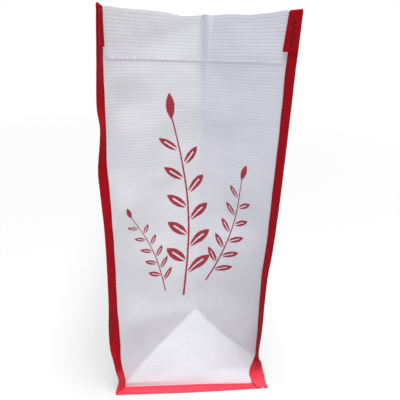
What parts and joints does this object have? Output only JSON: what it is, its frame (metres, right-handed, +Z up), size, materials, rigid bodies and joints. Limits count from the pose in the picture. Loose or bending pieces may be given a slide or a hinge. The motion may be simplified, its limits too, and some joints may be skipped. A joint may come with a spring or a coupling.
{
  "type": "raffia bag",
  "caption": "Open-top shopping bag of white woven raffia cloth, standing open, with folded side gussets and red bound seams.",
  "frame": {"origin": "centre of the bounding box's underside, on the surface the bag stands on", "axes": "+Z up; the side gusset that the picture shows faces -Y, and the big panels stand at -X and +X"},
  "size_m": [0.2042, 0.4402, 0.4595],
  "materials": {
    "raffia": "laminated woven polypropylene, satin",
    "binding": "woven polypropylene tape, matt"
  },
  "bodies": {
    "root": {"body": "raffia", "gusset_near": "raffia", "gusset_far": "raffia", "binding_near_left": "binding", "binding_near_right": "binding", "binding_near_foot": "binding", "binding_far_left": "binding", "binding_far_right": "binding", "binding_far_foot": "binding"}
  },
  "joints": []
}
